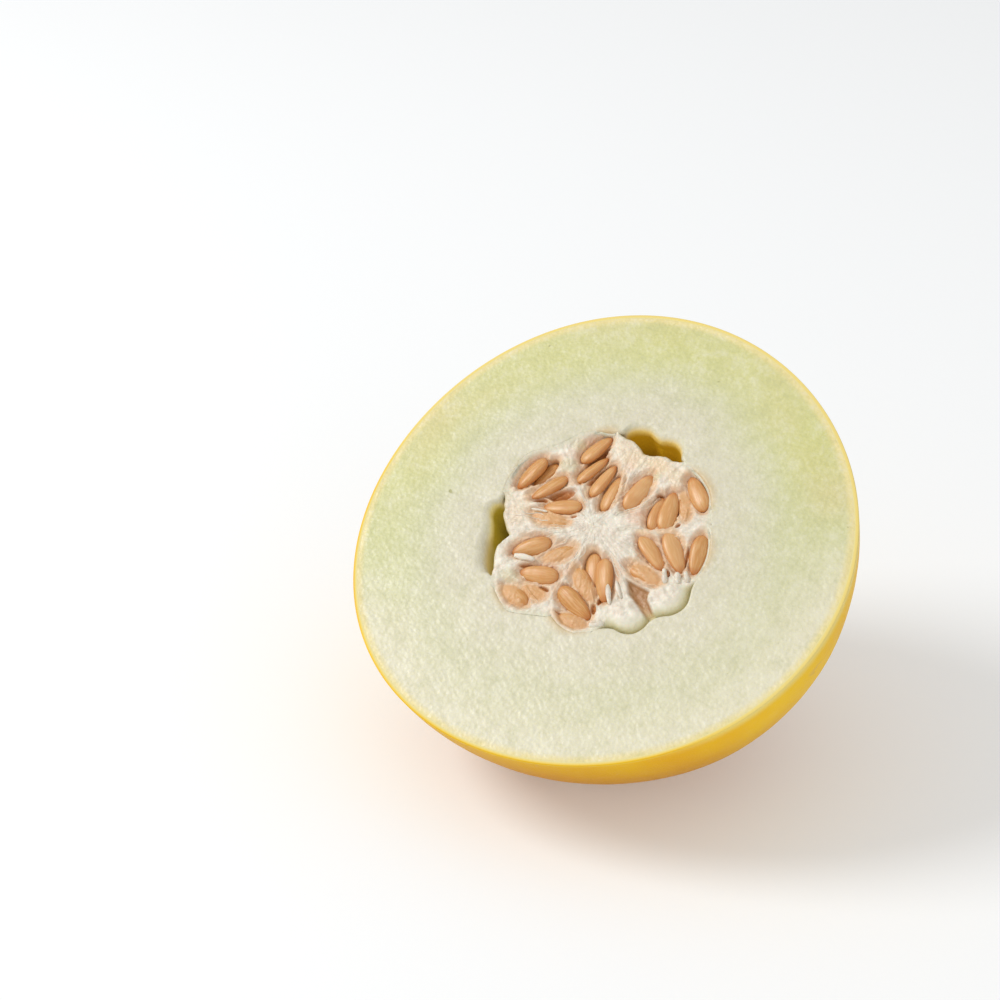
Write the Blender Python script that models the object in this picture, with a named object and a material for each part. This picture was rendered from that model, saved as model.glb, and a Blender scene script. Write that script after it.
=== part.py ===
import math

import bmesh
import bpy
from mathutils import Matrix, Vector

# Half of a golden honeydew melon, cut across, leaning back on a small flat spot.
# Lengths are in metres and angles in degrees. The cut face has its own axes: x to the right,
# y up the face, and w out of it, all from where the fruit's axis meets the face.

# the fruit's outer form: an egg of round section, cut a little past its middle
equator_radius = 0.0702
pole_radius = 0.0773
cut_offset = 0.0062
outline_lobing = 0.0135
outline_turn = 105.1

# the stem scar is a shallow round dimple at the pole
scar_radius = 0.0075
scar_depth = 0.0007

# how the half lies: the cut face looks up and forward, and the weight rests on a flat spot
face_elevation = 57.1
rest_sag = 0.0036
rest_blend = 0.0006

rind_thickness = 0.0012
clearance = 0.0003
merge_distance = 0.0000004

# the seed cavity lies a little off the axis and has a scalloped outline, two scallops a carpel
core_x = -0.0026
core_y = 0.0013
cavity_waist = 0.0292
cavity_bulge = 0.0040
cavity_depth = 0.0380
scallop_power = 0.6

# each carpel: the turn of its midline and the width of the hollow between pulp and flesh there
carpels = {
    "left": {"turn": 194.6, "hollow": 0.0048},
    "top": {"turn": 74.6, "hollow": 0.0056},
    "right": {"turn": -45.4, "hollow": 0.0010},
}
hollow_spread = 14.0

# the pulp's top: a plateau below the face, and a pocket for the seeds in each lobe
plateau_depth = 0.0009
shoulder_drop = 0.0016
pocket_depth = 0.0052
pocket_reach = 0.0200
pocket_long = 0.0115
pocket_wide = 0.0090
pocket_turn = 31.0

seed_length = 0.0116
seed_width = 0.0050
seed_thickness = 0.0023
seed_taper = 0.45

# the seeds of a lobe fan out from a root beside the carpel's midline
root_radius = 0.0310
root_turn = 17.0
bed_depth = 0.0050
bed_thickness = 0.0024
bed_share = 0.84

# each lobe: its carpel, its side of the midline, and for each seed the turn in the fan,
# the reach from the root in mm, and the depth under the face in mm
lobes = (
    {"carpel": "left", "side": -1, "fan": (65, 50, 33, 12, -3),
     "reach": (12.4, 16.3, 14.7, 18.2, 16.6), "depth": (3.7, 5.2, 3.2, 3.2, 5.0)},
    {"carpel": "left", "side": 1, "fan": (-1, 13, 36, 51, 64),
     "reach": (12.8, 19.4, 15.8, 17.6, 14.0), "depth": (3.2, 4.9, 3.2, 5.2, 4.2)},
    {"carpel": "top", "side": 1, "fan": (53, 30, 14, 2),
     "reach": (12.6, 15.6, 17.2, 19.6), "depth": (3.2, 4.2, 3.2, 4.2)},
    {"carpel": "top", "side": -1, "fan": (-6, 17, 34, 50, 68),
     "reach": (15.1, 16.1, 15.6, 13.6, 11.8), "depth": (3.2, 4.6, 3.2, 5.2, 3.7)},
    {"carpel": "right", "side": 1, "fan": (4, 23, 44, 65),
     "reach": (11.6, 15.5, 14.3, 13.4), "depth": (4.6, 3.4, 3.2, 4.2)},
    {"carpel": "right", "side": -1, "fan": (5, -1, 21, 40, 62),
     "reach": (20.6, 14.6, 16.4, 13.2, 11.0), "depth": (4.9, 3.2, 4.6, 3.2, 5.0)},
)
seed_roll = 18.0

# how finely each form is divided
segments = 54
skin_rings = 14
cavity_rings = 7
pulp_rings = 11
seed_sides = 8
seed_rings = 5
bed_sides = 14

# the first segment starts on the wall between two carpels, so every cusp falls on a vertex
first_turn = 14.6


def turns():
    return [first_turn + 360.0 * i / segments for i in range(segments)]


def polar(radius, turn):
    angle = math.radians(turn)
    return radius * math.cos(angle), radius * math.sin(angle)


def turn_between(a, b):
    return (a - b + 180.0) % 360.0 - 180.0


def support_height():
    tilt = math.radians(face_elevation)
    return math.hypot(pole_radius * math.sin(tilt), equator_radius * math.cos(tilt))


def place(x, y, w):
    tilt = math.radians(face_elevation)
    height = support_height() - rest_sag - cut_offset * math.sin(tilt)
    across = Vector((1.0, 0.0, 0.0))
    up_face = Vector((0.0, math.sin(tilt), math.cos(tilt)))
    out = Vector((0.0, -math.cos(tilt), math.sin(tilt)))
    return Vector((0.0, 0.0, height)) + x * across + y * up_face + w * out


# a point that would go below the level of the flat spot is laid on it, with a soft edge
def settle(point, level):
    rise = point.z - level
    if rise <= -rest_blend:
        point.z = level
    elif rise < rest_blend:
        point.z = level + (rise + rest_blend) ** 2 / (4.0 * rest_blend)
    return point


def skin_point(turn, climb, inset):
    across = (equator_radius - inset) * math.cos(climb)
    deep = (pole_radius - inset) * math.sin(climb) - cut_offset
    across *= 1.0 + outline_lobing * math.cos(math.radians(3.0 * (turn - outline_turn)))
    if across < scar_radius:
        deep -= scar_depth * 0.5 * (1.0 + math.cos(math.pi * across / scar_radius))
    x, y = polar(across, turn)
    return settle(place(x, y, -deep), inset)


def skin_surface(inset):
    first = math.asin(cut_offset / (pole_radius - inset))
    rings = []
    for i in range(skin_rings):
        climb = first + (math.pi / 2.0 - first) * i / skin_rings
        rings.append([skin_point(turn, climb, inset) for turn in turns()])
    return rings, skin_point(0.0, math.pi / 2.0, inset)


def cavity_radius(turn):
    lobe = abs(math.sin(math.radians(3.0 * (turn - carpels["left"]["turn"]))))
    return cavity_waist + cavity_bulge * lobe ** scallop_power


def hollow_width(turn):
    width = 0.0
    for carpel in carpels.values():
        away = turn_between(turn, carpel["turn"]) / hollow_spread
        width += carpel["hollow"] * math.exp(-away * away)
    return width


def core_point(radius, turn, w):
    x, y = polar(radius, turn)
    return place(core_x + x, core_y + y, w)


def lobe_turn(lobe):
    return carpels[lobe["carpel"]]["turn"] + lobe["side"] * pocket_turn


def smooth(value):
    value = min(max(value, 0.0), 1.0)
    return value * value * (3.0 - 2.0 * value)


def pulp_top(radius, turn, edge):
    drop = plateau_depth + shoulder_drop * smooth((radius / edge - 0.6) / 0.4)
    pocket = 0.0
    for lobe in lobes:
        away = math.radians(turn_between(turn, lobe_turn(lobe)))
        along = (radius * math.cos(away) - pocket_reach) / pocket_long
        aside = radius * math.sin(away) / pocket_wide
        if math.cos(away) > 0.0:
            pocket = max(pocket, smooth(3.0 * (1.0 - math.hypot(along, aside))))
    return -(drop + pocket_depth * pocket)


def closed_body(name, start, rings, end):
    mesh = bpy.data.meshes.new(name)
    body = bmesh.new()
    loops = [[body.verts.new(point) for point in ring] for ring in rings]
    first = body.verts.new(start)
    last = body.verts.new(end)
    count = len(loops[0])
    for i in range(count):
        j = (i + 1) % count
        body.faces.new((first, loops[0][j], loops[0][i]))
        body.faces.new((last, loops[-1][i], loops[-1][j]))
        for inner, outer in zip(loops, loops[1:]):
            body.faces.new((inner[i], inner[j], outer[j], outer[i]))
    bmesh.ops.triangulate(body, faces=body.faces[:])
    bmesh.ops.recalc_face_normals(body, faces=body.faces[:])
    body.to_mesh(mesh)
    body.free()
    made = bpy.data.objects.new(name, mesh)
    bpy.context.scene.collection.objects.link(made)
    return made


def make_rind():
    outer, outer_pole = skin_surface(0.0)
    inner, inner_pole = skin_surface(rind_thickness)
    return closed_body("rind", outer_pole, outer[::-1] + inner, inner_pole)


def make_flesh():
    outer, outer_pole = skin_surface(rind_thickness + clearance)
    rings = outer[::-1]
    for step in (0.35, 0.7):
        edge = [core_point(cavity_radius(turn), turn, 0.0) for turn in turns()]
        rings.append([a.lerp(b, step) for a, b in zip(outer[0], edge)])
    for i in range(cavity_rings):
        climb = math.pi / 2.0 * i / cavity_rings
        deep = -cavity_depth * math.sin(climb)
        narrow = math.cos(climb)
        rings.append([core_point(cavity_radius(turn) * narrow, turn, deep) for turn in turns()])
    return closed_body("flesh", outer_pole, rings, core_point(0.0, 0.0, -cavity_depth))


def make_pulp():
    fit = 1.5 * clearance
    edges = [cavity_radius(turn) - fit - hollow_width(turn) for turn in turns()]
    rings = []
    for i in range(1, pulp_rings + 1):
        part = i / pulp_rings
        rings.append([core_point(edge * part, turn, pulp_top(edge * part, turn, edge))
                      for edge, turn in zip(edges, turns())])
    rim_depth = plateau_depth + shoulder_drop
    for i in range(1, cavity_rings):
        climb = math.pi / 2.0 * i / cavity_rings
        deep = -(cavity_depth - fit) * math.sin(climb)
        narrow = math.cos(climb)
        if -deep > 2.0 * rim_depth:
            rings.append([core_point(edge * narrow - fit * (1.0 - narrow), turn, deep)
                          for edge, turn in zip(edges, turns())])
    top = core_point(0.0, 0.0, -plateau_depth)
    return closed_body("pulp", top, rings, core_point(0.0, 0.0, -(cavity_depth - fit)))


# a seed is a flattened drop, pointed at the end that grows from the pulp
def seed_body(name, centre, heading, roll, swell):
    along = Vector((*polar(1.0, heading), 0.0))
    side = Vector((-along.y, along.x, 0.0))
    out = Vector((0.0, 0.0, 1.0))
    lean = math.radians(roll)
    side, out = (side * math.cos(lean) + out * math.sin(lean),
                 out * math.cos(lean) - side * math.sin(lean))
    half = seed_length / 2.0 + swell

    def point(u, angle):
        bulk = math.sqrt(max(0.0, 1.0 - u * u)) * (1.0 + seed_taper * u) / (1.0 + 0.1 * seed_taper)
        wide = (seed_width / 2.0 + swell) * bulk * math.cos(angle)
        thick = (seed_thickness / 2.0 + swell) * bulk * math.sin(angle)
        spot = centre + along * half * u + side * wide + out * thick
        return place(spot.x, spot.y, spot.z)

    rings = []
    for i in range(1, seed_rings + 1):
        u = -math.cos(math.pi * i / (seed_rings + 1))
        rings.append([point(u, 2.0 * math.pi * k / seed_sides) for k in range(seed_sides)])
    return closed_body(name, point(-1.0, 0.0), rings, point(1.0, 0.0))


# the membrane that the seeds of a lobe are bedded in, a thin pad with a rounded edge
def bed_body(name, centre, turn, swell):
    along = Vector((*polar(1.0, turn), 0.0))
    side = Vector((-along.y, along.x, 0.0))
    rings = []
    for wide, high in ((0.85, 1.0), (1.0, 0.5), (1.0, -0.5), (0.85, -1.0)):
        ring = []
        for k in range(bed_sides):
            angle = 2.0 * math.pi * k / bed_sides
            spot = (centre + along * (pocket_long * bed_share + swell) * wide * math.cos(angle)
                    + side * (pocket_wide * bed_share + swell) * wide * math.sin(angle))
            spot.z += (bed_thickness / 2.0 + swell) * high
            ring.append(place(spot.x, spot.y, spot.z))
        rings.append(ring)
    lift = Vector((0.0, 0.0, bed_thickness / 2.0 + swell))
    top = centre + lift
    low = centre - lift
    return closed_body(name, place(*top), rings, place(*low))


def bunch_bodies(number, lobe, swell):
    turn = lobe_turn(lobe)
    x, y = polar(pocket_reach, turn)
    bed_centre = Vector((core_x + x, core_y + y, -bed_depth))
    bodies = [bed_body(f"bed_{number}", bed_centre, turn, swell)]
    root = carpels[lobe["carpel"]]["turn"] + lobe["side"] * root_turn
    root_x, root_y = polar(root_radius, root)
    for i, (fan, reach, depth) in enumerate(zip(lobe["fan"], lobe["reach"], lobe["depth"])):
        heading = root + 180.0 - lobe["side"] * fan
        out_x, out_y = polar(reach / 1000.0, heading)
        centre = Vector((core_x + root_x + out_x, core_y + root_y + out_y, -depth / 1000.0))
        roll = seed_roll * lobe["side"]
        bodies.append(seed_body(f"seed_{number}_{i}", centre, heading, roll, swell))
    return bodies


def apply_boolean(base, bodies, operation):
    group = bpy.data.collections.new("group")
    bpy.context.scene.collection.children.link(group)
    for body in bodies:
        bpy.context.scene.collection.objects.unlink(body)
        group.objects.link(body)
    modifier = base.modifiers.new("Boolean", "BOOLEAN")
    modifier.operation = operation
    modifier.operand_type = "COLLECTION"
    modifier.collection = group
    view = bpy.context.evaluated_depsgraph_get()
    mesh = bpy.data.meshes.new_from_object(base.evaluated_get(view))
    base.modifiers.clear()
    base.data = mesh
    for body in bodies:
        bpy.data.objects.remove(body)
    bpy.data.collections.remove(group)


# a joined mesh has its coinciding corners merged and its faces split into triangles
def tidy_mesh(made):
    body = bmesh.new()
    body.from_mesh(made.data)
    bmesh.ops.remove_doubles(body, verts=body.verts[:], dist=merge_distance)
    bmesh.ops.triangulate(body, faces=body.faces[:])
    body.to_mesh(made.data)
    body.free()


def make_bunch(number, lobe):
    bodies = bunch_bodies(number, lobe, 0.0)
    base = bodies[0]
    apply_boolean(base, bodies[1:], "UNION")
    base.name = f"seeds_{number}"
    base.data.name = base.name
    tidy_mesh(base)
    return base


def cut_sockets(pulp):
    bodies = []
    for number, lobe in enumerate(lobes, 1):
        bodies += bunch_bodies(number, lobe, clearance)
    apply_boolean(pulp, bodies, "DIFFERENCE")
    tidy_mesh(pulp)


def paint(made, name, color, roughness):
    material = bpy.data.materials.new(name)
    material.use_nodes = True
    shader = material.node_tree.nodes["Principled BSDF"]
    shader.inputs["Base Color"].default_value = (*color, 1.0)
    shader.inputs["Roughness"].default_value = roughness
    shader.inputs["Metallic"].default_value = 0.0
    made.data.materials.clear()
    made.data.materials.append(material)


# the origin goes to the middle of the box that the rind fills, on the surface it rests on
def centre_on_origin(parts, rind):
    points = [vertex.co for vertex in rind.data.vertices]
    mid_x = (min(p.x for p in points) + max(p.x for p in points)) / 2.0
    mid_y = (min(p.y for p in points) + max(p.y for p in points)) / 2.0
    for made in parts:
        made.data.transform(Matrix.Translation((-mid_x, -mid_y, 0.0)))


def main():
    for old in list(bpy.data.objects):
        bpy.data.objects.remove(old)

    rind = make_rind()
    flesh = make_flesh()
    pulp = make_pulp()
    bunches = [make_bunch(number, lobe) for number, lobe in enumerate(lobes, 1)]
    cut_sockets(pulp)

    paint(rind, "golden_skin", (0.86, 0.52, 0.03), 0.42)
    paint(flesh, "pale_flesh", (0.74, 0.75, 0.56), 0.5)
    paint(pulp, "white_pulp", (0.85, 0.82, 0.72), 0.5)
    for bunch in bunches:
        paint(bunch, bunch.name + "_tan", (0.66, 0.36, 0.14), 0.32)
    rind.data.shade_smooth()
    centre_on_origin([rind, flesh, pulp, *bunches], rind)


main()
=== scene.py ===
import math

import bmesh
import bpy
import numpy as np
from mathutils import Matrix, Vector


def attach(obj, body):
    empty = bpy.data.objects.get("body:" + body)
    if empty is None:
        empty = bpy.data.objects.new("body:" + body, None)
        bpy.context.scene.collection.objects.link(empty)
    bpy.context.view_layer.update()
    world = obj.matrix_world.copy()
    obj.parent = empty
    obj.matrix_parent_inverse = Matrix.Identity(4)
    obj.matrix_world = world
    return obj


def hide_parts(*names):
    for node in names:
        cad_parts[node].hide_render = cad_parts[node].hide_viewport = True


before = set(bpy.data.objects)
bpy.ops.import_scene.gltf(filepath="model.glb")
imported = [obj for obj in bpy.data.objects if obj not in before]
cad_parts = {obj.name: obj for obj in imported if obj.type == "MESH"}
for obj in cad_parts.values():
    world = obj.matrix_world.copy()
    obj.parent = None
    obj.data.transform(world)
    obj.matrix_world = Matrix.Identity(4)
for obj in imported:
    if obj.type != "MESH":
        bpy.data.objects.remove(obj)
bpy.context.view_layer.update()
print("frame loaded:", len(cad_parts), "nodes")

# the fruit's form as the CAD has it, in metres and degrees; the cut face has its own axes,
# x to the right, y up the face and w out of it
fruit = {
    "equator": 0.0702,
    "pole": 0.0773,
    "cutOffset": 0.0062,
    "lobing": 0.0135,
    "lobeTurn": 105.1,
    "faceElevation": 57.1,
    "restSag": 0.0036,
    "restBlend": 0.0006,
    "rindThickness": 0.0012,
    "coreX": -0.0026,
    "coreY": 0.0013,
    "cavityDepth": 0.0380,
    "shiftX": -0.000626,
    "shiftY": -0.005588,
}
faceTilt = math.radians(fruit["faceElevation"])
supportHeight = math.hypot(fruit["pole"] * math.sin(faceTilt), fruit["equator"] * math.cos(faceTilt))
faceHeight = supportHeight - fruit["restSag"] - fruit["cutOffset"] * math.sin(faceTilt)


def smooth(value):
    value = np.clip(value, 0.0, 1.0)
    return value * value * (3.0 - 2.0 * value)


def placePoints(x, y, w):
    x, y, w = np.broadcast_arrays(x, y, w)
    return np.stack([
        x + fruit["shiftX"],
        y * math.sin(faceTilt) - w * math.cos(faceTilt) + fruit["shiftY"],
        faceHeight + y * math.cos(faceTilt) + w * math.sin(faceTilt),
    ], axis=-1)


# what would go below the flat resting spot is laid on it, with a soft edge
def settle(points, level):
    blend = fruit["restBlend"]
    rise = points[:, 2] - level
    soft = level + np.clip(rise + blend, 0.0, 2.0 * blend) ** 2 / (4.0 * blend)
    points[:, 2] = np.where(rise < blend, soft, points[:, 2])
    return points


# soft random waves about one cell long, from -1 to 1
def softNoise(points, cell, seed):
    table = np.random.default_rng(seed).uniform(-1.0, 1.0, (32, 32, 32))
    grid = points / cell + 500.0
    low = np.floor(grid).astype(int)
    part = smooth(grid - low)
    total = np.zeros(len(points))
    for corner in range(8):
        step = np.array([corner & 1, corner >> 1 & 1, corner >> 2 & 1])
        weight = np.prod(np.where(step, part, 1.0 - part), axis=1)
        index = (low + step) % 32
        total += weight * table[index[:, 0], index[:, 1], index[:, 2]]
    return total


# a smooth closed curve through pairs of a turn and a value
def ringCurve(table, turn):
    knots = np.array([row[0] for row in table], float)
    values = np.array([row[1] for row in table], float)
    gaps = np.mod(np.roll(knots, -1) - knots, 360.0)
    slopes = (np.roll(values, -1) - np.roll(values, 1)) / (gaps + np.roll(gaps, 1))
    turn = np.mod(np.asarray(turn, float) - knots[0], 360.0)
    here = np.searchsorted(knots - knots[0], turn, side="right") - 1
    after = (here + 1) % len(knots)
    gap = gaps[here]
    part = (turn - (knots[here] - knots[0])) / gap
    return ((1 + 2 * part) * (1 - part) ** 2 * values[here] + part * (1 - part) ** 2 * gap * slopes[here]
            + part ** 2 * (3 - 2 * part) * values[after] + part ** 2 * (part - 1) * gap * slopes[after])


def linkObject(name, data):
    piece = bpy.data.objects.new(name, data)
    bpy.context.scene.collection.objects.link(piece)
    return piece


# values that a mesh's points carry: one number each, or a vector each
def carry(mesh, label, values):
    values = np.asarray(values, np.float32)
    kind, field = ("FLOAT", "value") if values.ndim == 1 else ("FLOAT_VECTOR", "vector")
    made = mesh.attributes.new(label, kind, "POINT")
    made.data.foreach_set(field, values.ravel())


def meshObject(name, points, faces, attributes):
    mesh = bpy.data.meshes.new(name)
    mesh.from_pydata(np.asarray(points).tolist(), [], faces)
    for label, values in attributes.items():
        carry(mesh, label, values)
    solid = bmesh.new()
    solid.from_mesh(mesh)
    bmesh.ops.recalc_face_normals(solid, faces=solid.faces[:])
    solid.to_mesh(mesh)
    solid.free()
    mesh.shade_smooth()
    return linkObject(name, mesh)


def shellFaces(ringCount, count):
    first = np.arange(count)
    after = (first + 1) % count
    faces = [(0, 1 + j, 1 + i) for i, j in zip(first.tolist(), after.tolist())]
    for k in range(ringCount - 1):
        low = 1 + k * count
        high = low + count
        faces += np.stack([low + first, low + after, high + after, high + first], axis=1).tolist()
    low = 1 + (ringCount - 1) * count
    end = 1 + ringCount * count
    faces += [(end, low + i, low + j) for i, j in zip(first.tolist(), after.tolist())]
    return faces


# a closed shell from a start point, rings of equal count, and an end point: each row holds its points
# and the values that they carry
def shell(name, rows):
    places = [np.atleast_2d(points) for points, values in rows]
    attributes = {}
    for label in rows[0][1]:
        parts = [np.broadcast_to(values[label], len(place)) for place, (points, values) in zip(places, rows)]
        attributes[label] = np.concatenate(parts)
    return meshObject(name, np.concatenate(places), shellFaces(len(rows) - 2, len(places[1])), attributes)


# ---- skin

# the first rings under the rim carry painted light: the ring shares make them paler on the far side, where
# light would come through the rim; edgePale says how pale the rounded edge is, and cutRings gives the rings
# across the cut edge, each with its inset and its drop
skin = {
    "turns": 360,
    "rings": 104,
    "ringDraw": 1.12,
    "innerRings": 9,
    "waveHeight": 0.00022,
    "waveLength": 0.021,
    "waveFade": 0.05,
    "rippleHeight": 0.00003,
    "rippleLength": 0.0034,
    "edgeRound": 0.00022,
    "scarRadius": 0.0075,
    "scarDepth": 0.0007,
    "corkRadius": 0.0052,
    "corkHeight": 0.00045,
    "edgePale": 0.3,
    "cutBacklit": 0.6,
    "backlitRings": {1: 0.62, 2: 0.48, 3: 0.3, 4: 0.12},
    "cutRings": ((0.00006, 0.00006), (0.00022, 0.0), (0.0005, 0.0), (0.0008, 0.0), (0.00114, 0.0),
                 (0.0012, 0.0), (0.0012, 0.00006)),
}


def skinRing(turn, climb, inset, relief=0.0, sink=0.0):
    across = (fruit["equator"] - inset + relief) * np.cos(climb)
    deep = (fruit["pole"] - inset + relief) * np.sin(climb) - fruit["cutOffset"]
    across = across * (1.0 + fruit["lobing"] * np.cos(np.radians(3.0 * (turn - fruit["lobeTurn"]))))
    dimple = 0.5 * (1.0 + np.cos(np.pi * np.clip(across / skin["scarRadius"], 0.0, 1.0)))
    deep = deep - skin["scarDepth"] * dimple * (across < skin["scarRadius"])
    angle = np.radians(turn)
    points = placePoints(across * np.cos(angle), across * np.sin(angle), -(deep + sink))
    return settle(points, inset)


def firstClimb(inset):
    return math.asin(fruit["cutOffset"] / (fruit["pole"] - inset))


# the stem scar: a rough corky plug in the dimple, with a groove round it
def corkRelief(across, turn):
    angle = np.radians(turn)
    spot = np.stack([across * np.cos(angle), across * np.sin(angle), 0.0 * across], axis=1)
    edge = skin["corkRadius"] * (1.0 + 0.12 * softNoise(spot / np.maximum(across, 1e-6)[:, None], 0.7, 31))
    plug = 1.0 - smooth((across / edge - 0.78) / 0.22)
    rough = softNoise(spot, 0.0011, 32) * 0.35 + softNoise(spot, 0.0005, 33) * 0.2
    crack = np.abs(softNoise(spot, 0.0024, 34))
    rise = plug * (1.0 + rough - 0.8 * (1.0 - smooth(crack / 0.16)))
    groove = np.exp(-((across / edge - 1.12) / 0.11) ** 2)
    return skin["corkHeight"] * (rise - 0.35 * groove), plug


def makeSkin():
    turn = np.linspace(0.0, 360.0, skin["turns"], endpoint=False)
    start = firstClimb(0.0)
    thick = fruit["rindThickness"]
    middle = np.array([0.0])
    top = np.array([math.pi / 2])
    # painted light: where light would come through the rim from behind, its gold is painted paler
    far = smooth((np.sin(np.radians(turn)) + 0.35) / 0.7) + smooth((np.cos(np.radians(turn)) - 0.5) / 0.4)
    far = np.minimum(far, 1.0)
    cork, mask = corkRelief(np.array([1e-6]), middle)
    rows = [(skinRing(middle, top, 0.0, cork), {"inset": 0.0, "cork": mask})]
    for k in range(skin["rings"], 0, -1):
        share = (k - 1) / skin["rings"]
        climb = np.full_like(turn, start + (math.pi / 2 - start) * (1.0 - (1.0 - share) ** skin["ringDraw"]))
        cork, mask = corkRelief(fruit["equator"] * np.cos(climb), turn)
        pale = far * skin["backlitRings"].get(k, 0.0)
        if k == 1:
            ring = skinRing(turn, climb, 0.0, 0.0, skin["edgeRound"])
            pale = np.maximum(pale, skin["edgePale"])
        else:
            plain = skinRing(turn, climb, 0.0)
            relief = skin["waveHeight"] * softNoise(plain, skin["waveLength"], 11)
            relief += skin["rippleHeight"] * softNoise(plain, skin["rippleLength"], 12)
            ring = skinRing(turn, climb, 0.0, relief * smooth((climb - start) / skin["waveFade"]) + cork)
        rows.append((ring, {"inset": pale, "cork": mask}))
    # the cut edge is paler inward in the rind's own colour, and on the far side painted light makes it paler
    # still
    for inset, drop in skin["cutRings"]:
        ring = skinRing(turn, np.full_like(turn, firstClimb(inset)), inset, 0.0, drop)
        rows.append((ring, {"inset": np.maximum(inset / thick, skin["cutBacklit"] * far), "cork": 0.0}))
    inside = {"inset": 1.0, "cork": 0.0}
    for k in range(1, skin["innerRings"] + 1):
        climb = firstClimb(thick) + (math.pi / 2 - firstClimb(thick)) * k / (skin["innerRings"] + 1)
        rows.append((skinRing(turn, np.full_like(turn, climb), thick), inside))
    rows.append((skinRing(middle, top, thick), inside))
    return shell("skin", rows)


# ---- flesh

# the cavity's outline at the face: turn in degrees and radius in mm, about the core
cavityOutline = (
    (4, 33.4), (10, 32.6), (16, 31.8), (28, 32.2), (35, 32.4), (43, 31.8), (50, 30.8), (56, 30.2),
    (60, 30.4), (63, 31.5), (66, 32.4), (70, 32.7), (74, 32.0), (77, 31.2), (81, 31.6), (85, 32.4),
    (91, 31.9), (95, 30.9), (99, 29.6), (104, 29.4), (112, 29.8), (122, 29.6), (132, 28.8), (140, 29.4),
    (149, 30.9), (156, 31.0), (162, 30.4), (170, 29.8), (176, 29.0), (180, 29.2), (184, 30.7),
    (188, 30.9), (193, 30.0), (199, 29.7), (203, 30.5), (207, 31.1), (213, 31.7), (218, 32.2),
    (222, 32.1), (225, 31.4), (229, 30.9), (234, 31.8), (241, 32.6), (249, 32.6), (256, 31.0),
    (264, 29.4), (270, 29.0), (276, 30.8), (282, 32.2), (288, 32.3), (294, 31.8), (299, 31.9),
    (303, 32.7), (306, 34.4), (309, 35.5), (312, 35.9), (316, 35.5), (319, 34.7), (322, 34.6),
    (325, 35.2), (328, 36.4), (331, 37.1), (334, 37.3), (337, 36.9), (340, 35.9), (343, 34.9),
    (347, 34.3), (353, 34.2), (358, 34.0),
)

# how far the pulp stands off the flesh, in mm; below nothing the two have grown together
hollowGap = (
    (0, -0.8), (30, -0.8), (56, -0.8), (60, 1.0), (63, 3.1), (66, 4.1), (70, 5.1), (74, 5.6), (77, 5.5),
    (81, 5.9), (85, 5.6), (91, 3.6), (95, 2.3), (98, 0.6), (101, -0.8), (135, -0.8), (174, -0.8),
    (178, 0.4), (181, 1.5), (184, 3.4), (188, 3.8), (193, 4.0), (199, 4.8), (203, 6.4), (206, 5.2),
    (209, 3.8), (213, 3.2), (218, 2.9), (222, 2.2), (225, 0.4), (228, -0.8), (260, -0.8), (294, -0.8),
    (298, 0.1), (302, 0.15), (312, 0.15), (322, 0.15), (332, 0.15), (340, 0.15), (344, 0.1), (348, -0.8),
)

flesh = {
    "turns": 720,
    "outerRings": 8,
    "faceRings": 92,
    "roundRings": 9,
    "wallRings": 22,
    "wallDraw": 1.15,
    "wallWave": 0.0004,
    "wallWaveLength": 0.004,
    "firstShare": 0.0014,
    "rimDrop": 0.00006,
    "edgeRound": 0.0008,
    "hollowRound": 0.0030,
    "hollowDraw": 0.0005,
    "waveHeight": 0.00012,
    "waveLength": 0.0075,
    "grainHeight": 0.00004,
    "grainLength": 0.0012,
    "scratchHeight": 0.00006,
    "haloReach": 3.8,
    "glowDepth": 0.004,
}


def cavityRadius(turn):
    return ringCurve(cavityOutline, turn) / 1000.0


def hollowWidth(turn):
    return ringCurve(hollowGap, turn) / 1000.0


# how open the gap beside the pulp is, and where the cavity's wall stands under its rounded edge
def hollowShare(turn):
    return smooth(hollowWidth(turn) / 0.003)


def wallRadius(turn):
    return cavityRadius(turn) - flesh["hollowDraw"] * hollowShare(turn)


def corePoints(radius, turn, w):
    angle = np.radians(turn)
    return placePoints(fruit["coreX"] + radius * np.cos(angle), fruit["coreY"] + radius * np.sin(angle), w)


# where a point lies on the face, in mm
def facePlace(points):
    height = points[..., 2] - faceHeight
    back = points[..., 1] - fruit["shiftY"]
    return (1000.0 * (points[..., 0] - fruit["shiftX"]),
            1000.0 * (back * math.sin(faceTilt) + height * math.cos(faceTilt)))


# a tan halo in the flesh beside the seeds, partly a stain and partly painted shade
def seedStainAndShade(points):
    x, y = facePlace(points)
    nearest = np.min([seedGap(x, y, row)[1] for rows in seedRows.values() for row in rows], axis=0)
    return smooth(1.0 - nearest / flesh["haloReach"])


# soft waves, wet grain, and slanting scratches of the knife on the nearer half
def faceRelief(points):
    relief = flesh["waveHeight"] * softNoise(points, flesh["waveLength"], 21)
    relief += flesh["grainHeight"] * softNoise(points, flesh["grainLength"], 22)
    relief += 0.6 * flesh["grainHeight"] * softNoise(points, flesh["grainLength"] * 0.55, 23)
    x, y = facePlace(points)
    along = 0.82 * x - 0.57 * y
    aside = 0.57 * x + 0.82 * y
    scratch = softNoise(np.stack([along / 3.0, aside / 0.6, 0.0 * x], axis=-1), 1.0, 25)
    return relief + flesh["scratchHeight"] * scratch * smooth((-y - 4.0) / 40.0)


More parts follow.
